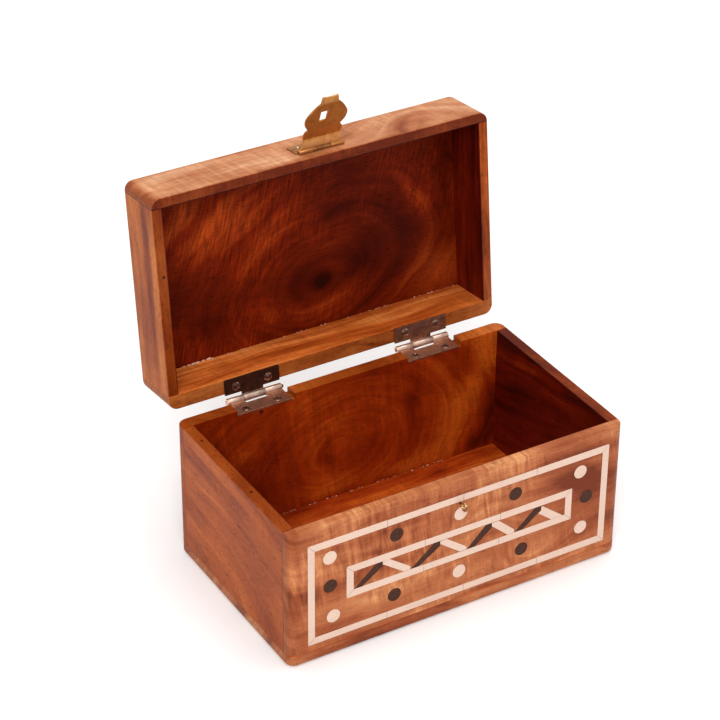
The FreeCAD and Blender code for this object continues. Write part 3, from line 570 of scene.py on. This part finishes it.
def from_line(web, source, line_y, line_z):
    """Distance in millimetres from a line along X."""
    _x, y, z = web.split(source)
    y = web.times(web.minus(y, line_y), 1 / MM)
    z = web.times(web.minus(z, line_z), 1 / MM)
    return web.math("SQRT", web.times_plus(y, y, web.times(z, z)))


def sleeve(web, source, cloud, zone):
    """1 inside a sleeve, with a border that is blurred and follows the clouds."""
    line_y, line_z, near, far, blur, _tone = zone
    reach = 2.0 * blur
    radius = web.times_plus(cloud, reach, from_line(web, source, line_y, line_z))
    inside = web.remap(radius, far + reach, far, smooth=True)
    return web.times(inside, web.remap(radius, near, near + reach, smooth=True))


def metal(name, clean, stained, brushed, gloss=0.3, stain_scale=200.0, zones=()):
    """Old metal: a clean tone under soft stains, with zones of another tone (some of them painted
    highlights), specks and fine scratches.
    """
    web = Web(name)
    source = web.coordinates()
    cloud = web.noise(source, scale=stain_scale, detail=4.0, rough=0.6, bend=0.3)
    scratch = web.noise(web.scaled(source, *brushed), detail=2.0, rough=0.6)
    speck = web.remap(web.noise(source, scale=1500.0, detail=1.0), *SPECK_MASK)
    stain = web.remap(cloud, *STAIN_MASK, smooth=True)
    shade = web.mix(stain, clean, stained)
    for zone in zones:
        inside = sleeve(web, source, cloud, zone)
        shade = web.mix(web.times(inside, web.times_plus(stain, -ZONE_STAINED, 1.0)), shade, zone[-1])
    shade = web.mix(web.times(speck, SPECK_DEPTH), shade, SPECK_COLOUR)
    shade = web.dimmed(shade, web.times_plus(web.centred(scratch), SCRATCH_CONTRAST, 1.0))
    rough = web.times_plus(scratch, METAL_ROUGHENING, gloss)
    rough = web.times_plus(stain, METAL_ROUGHENING, rough)
    return web.finish(Base_Color=shade, Metallic=1.0, Roughness=rough,
                      Normal=web.bump(scratch, depth=0.02, strength=0.5))


BONE = bone()
DARK = dark_inlay()
METALS = {
    "base_leaf": metal("hinge_base_leaf", colour(212, 160, 130), colour(164, 114, 88), ALONG_X_BRUSH,
                       zones=(KNUCKLE_HIGHLIGHT,)),
    "left_hinge_lid_leaf": metal("hinge_lid_leaf_dark", colour(106, 68, 56), colour(66, 38, 30),
                                 ACROSS_X_BRUSH, zones=(KNUCKLE_HIGHLIGHT,)),
    "right_hinge_lid_leaf": metal("hinge_lid_leaf_brown", colour(180, 130, 106), colour(122, 78, 60),
                                  ACROSS_X_BRUSH, zones=(KNUCKLE_HIGHLIGHT,)),
    # The pin is dark, so that the gaps between the knuckles and the ends of the barrel look black: painted
    # shade.
    "hinge_pin": metal("hinge_pin", colour(96, 66, 54), colour(50, 30, 24), EVEN_BRUSH),
    "screws": metal("hinge_screws", colour(190, 148, 130), colour(84, 54, 44), EVEN_BRUSH, gloss=0.2,
                    stain_scale=620.0),
    "hasp_plate": metal("hasp_plate", colour(200, 146, 90), colour(148, 98, 56), ALONG_X_BRUSH, gloss=0.36,
                        zones=(BARREL,)),
    "hasp_tongue": metal("hasp_tongue", colour(198, 126, 58), colour(164, 98, 42), ACROSS_X_BRUSH,
                         gloss=0.36, zones=(STRAP_HIGHLIGHT, TIP, BARREL)),
    "hasp_pin": metal("hasp_pin", colour(110, 70, 40), colour(60, 34, 20), EVEN_BRUSH),
    "nails": metal("hasp_nails", colour(240, 200, 176), colour(150, 100, 70), EVEN_BRUSH, gloss=0.2,
                   stain_scale=600.0),
    "eye": metal("screw_eye", colour(214, 168, 116), colour(56, 28, 14), EVEN_BRUSH, gloss=0.16,
                 stain_scale=420.0),
}


# ---------------------------------------------------------------- dress the CAD nodes

# Widths of the eased edges, and the reach of the weld, in millimetres.
BOARD_EDGE = 0.16
BONE_EDGE = 0.2
FINE_EDGE = 0.1
WELD_REACH = 0.002

SHARP_EDGE = math.radians(35)


def dress(name, material, edge):
    """Give a CAD node its material, join the split corners of its mesh and take its sharp edges off."""
    thing = NODES[name]
    thing.data.materials.clear()
    thing.data.materials.append(material)
    weld = thing.modifiers.new("weld", "WELD")
    weld.merge_threshold = WELD_REACH * MM
    bevel = thing.modifiers.new("ease", "BEVEL")
    bevel.width = edge * MM
    bevel.segments = 2
    bevel.limit_method = "ANGLE"
    bevel.angle_limit = SHARP_EDGE
    bevel.harden_normals = True


def look_of(name):
    """The material and edge width of a CAD node that isn't a board."""
    if name.startswith("dark_"):
        return DARK, FINE_EDGE
    if name.startswith(("outer_", "inner_", "bone_")):
        return BONE, BONE_EDGE
    for key in ("base_leaf", "hinge_pin", "screws", "nails"):
        if name.endswith("_" + key):
            return METALS[key], FINE_EDGE
    return METALS["eye" if name == "screw_eye" else name], FINE_EDGE


for index, (board_name, (axes, in_lid, board_stock)) in enumerate(BOARDS.items()):
    dress(board_name, wood(board_name, axes, in_lid, board_stock, index + 1), BOARD_EDGE)

for node_name in NODES:
    if node_name not in BOARDS:
        dress(node_name, *look_of(node_name))


# ---------------------------------------------------------------- dried glue

def glue():
    """Dried glue: cream lumps with browner patches."""
    web = Web("dried_glue")
    cloud = web.noise(web.coordinates(), scale=1400.0, detail=2.0)
    shade = web.mix(cloud, colour(236, 208, 190), colour(176, 122, 90))
    return web.finish(Base_Color=shade, Roughness=0.35, Normal=web.bump(cloud, depth=0.05, strength=0.4))


GLUE = glue()
DRAW = random.Random(7)

# Beads crowd towards a line's start by this power, and drift off the line by this many millimetres.
GLUE_CROWDING = 1.7
GLUE_DRIFT = 0.2

# A bead's size is a share of its line's size; its length and width are shares of its own size.
BEAD_SIZES = (0.4, 1.0)
BEAD_LENGTHS = (0.8, 2.4)
BEAD_WIDTHS = (0.6, 1.0)
RIPPLE_HEIGHT = 0.25
RIPPLE_RATE = 5.0


def lump(mesh, place, size):
    """One irregular bead of glue: a small ball, pulled about and pressed flat."""
    made = bmesh.ops.create_icosphere(mesh, subdivisions=2, radius=1.0)
    stretch = Vector((DRAW.uniform(*BEAD_LENGTHS), DRAW.uniform(*BEAD_WIDTHS), DRAW.uniform(*BEAD_WIDTHS)))
    for vertex in made["verts"]:
        ripple = 1.0 + RIPPLE_HEIGHT * math.sin(RIPPLE_RATE * vertex.co.x + DRAW.random())
        vertex.co = place + Vector(size * ripple * stretch[i] * vertex.co[i] for i in range(3))


def glue_line(name, start, end, count, size, body, in_lid):
    """Beads of squeezed-out glue, scattered along a joint of the shut box and thickest near its start."""
    mesh = bmesh.new()
    back = lid_turn(in_lid).inverted()
    for _bead in range(count):
        share = DRAW.random() ** GLUE_CROWDING
        drift = Vector(DRAW.uniform(-GLUE_DRIFT, GLUE_DRIFT) * MM for _axis in range(3))
        lump(mesh, back @ (start.lerp(end, share) + drift), DRAW.uniform(*BEAD_SIZES) * size * MM)
    data = bpy.data.meshes.new(name)
    mesh.to_mesh(data)
    mesh.free()
    for face in data.polygons:
        face.use_smooth = True
    data.materials.append(GLUE)
    piece = bpy.data.objects.new(name, data)
    bpy.context.scene.collection.objects.link(piece)
    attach(piece, body)


LOW = 0
HIGH = 1


def board_edge(name, in_lid, y_side, z_side, ends):
    """Two points on an edge of a board along X, which lies on its LOW or HIGH side in y and in z."""
    corners = shut_box(name, in_lid)
    return [Vector((x * MM, corners[y_side].y, corners[z_side].z)) for x in ends]


FLOOR_JOINT = board_edge("base_back_wall", False, LOW, LOW, (-92.0, 60.0))
PANEL_JOINT = board_edge("lid_top_panel", True, HIGH, LOW, (92.0, -58.0))
PANEL_CHIPS = board_edge("lid_top_panel", True, HIGH, LOW, (-78.0, -60.0))
glue_line("floor_glue", *FLOOR_JOINT, count=150, size=0.34, body="base", in_lid=False)
glue_line("lid_glue", *PANEL_JOINT, count=60, size=0.3, body="lid", in_lid=True)
glue_line("lid_glue_chips", *PANEL_CHIPS, count=16, size=0.75, body="lid", in_lid=True)


# ---------------------------------------------------------------- floor, light and camera

FLOOR_REACH = 6.0
FLOOR_CORNERS = ((-1, -1), (1, -1), (1, 1), (-1, 1))
SKY_COLOUR = (1.0, 0.99, 0.98, 1.0)
SKY_STRENGTH = 0.64
LIGHT_AIM = Vector((0.0, 0.0, 0.08))

# A camera fitted to the straight edges of the box in the photograph.
CAMERA_PLACE = Vector((-0.5845, -0.9374, 0.8119))
CAMERA_AZIMUTH = math.radians(-30.855)
CAMERA_ELEVATION = math.radians(32.0745)
CAMERA_ROLL = math.radians(0.38)
CAMERA_LENS = 127.73
CAMERA_SENSOR = 36.0
CAMERA_RANGE = (0.05, 50.0)


def make_floor():
    mesh = bpy.data.meshes.new("floor")
    corners = [(x * FLOOR_REACH, y * FLOOR_REACH, 0) for x, y in FLOOR_CORNERS]
    mesh.from_pydata(corners, [], [(0, 1, 2, 3)])
    floor = bpy.data.objects.new("floor", mesh)
    bpy.context.scene.collection.objects.link(floor)
    web = Web("floor_paper")
    cloud = web.noise(web.coordinates(), scale=3.0, detail=2.0)
    shade = web.mix(cloud, colour(250, 249, 248), colour(252, 252, 252))
    mesh.materials.append(web.finish(Base_Color=shade, Roughness=0.9))


def area_light(name, place, size, power):
    """A square soft light that is aimed at the box."""
    data = bpy.data.lights.new(name, "AREA")
    data.size = size
    data.energy = power
    lamp = bpy.data.objects.new(name, data)
    lamp.location = place
    lamp.rotation_euler = (LIGHT_AIM - Vector(place)).to_track_quat("-Z", "Y").to_euler()
    bpy.context.scene.collection.objects.link(lamp)


def make_sky():
    world = bpy.data.worlds.new("studio")
    world.use_nodes = True
    background = world.node_tree.nodes["Background"]
    background.inputs[0].default_value = SKY_COLOUR
    background.inputs[1].default_value = SKY_STRENGTH
    bpy.context.scene.world = world


def make_camera():
    data = bpy.data.cameras.new("camera")
    data.sensor_width = CAMERA_SENSOR
    data.lens = CAMERA_LENS
    data.clip_start, data.clip_end = CAMERA_RANGE
    back = Vector((math.sin(CAMERA_AZIMUTH) * math.cos(CAMERA_ELEVATION),
                   -math.cos(CAMERA_AZIMUTH) * math.cos(CAMERA_ELEVATION), math.sin(CAMERA_ELEVATION)))
    level = (-back).to_track_quat("-Z", "Y").to_matrix()
    camera = bpy.data.objects.new("camera", data)
    camera.rotation_euler = (level @ Matrix.Rotation(CAMERA_ROLL, 3, "Z")).to_euler()
    camera.location = CAMERA_PLACE
    bpy.context.scene.collection.objects.link(camera)
    bpy.context.scene.camera = camera


make_floor()
make_sky()
area_light("key", place=(-1.1, -1.5, 1.7), size=1.1, power=36.0)
area_light("top", place=(0.3, 0.2, 2.0), size=1.4, power=16.0)
make_camera()
bpy.context.scene.view_settings.view_transform = "Standard"

bpy.context.view_layer.update()
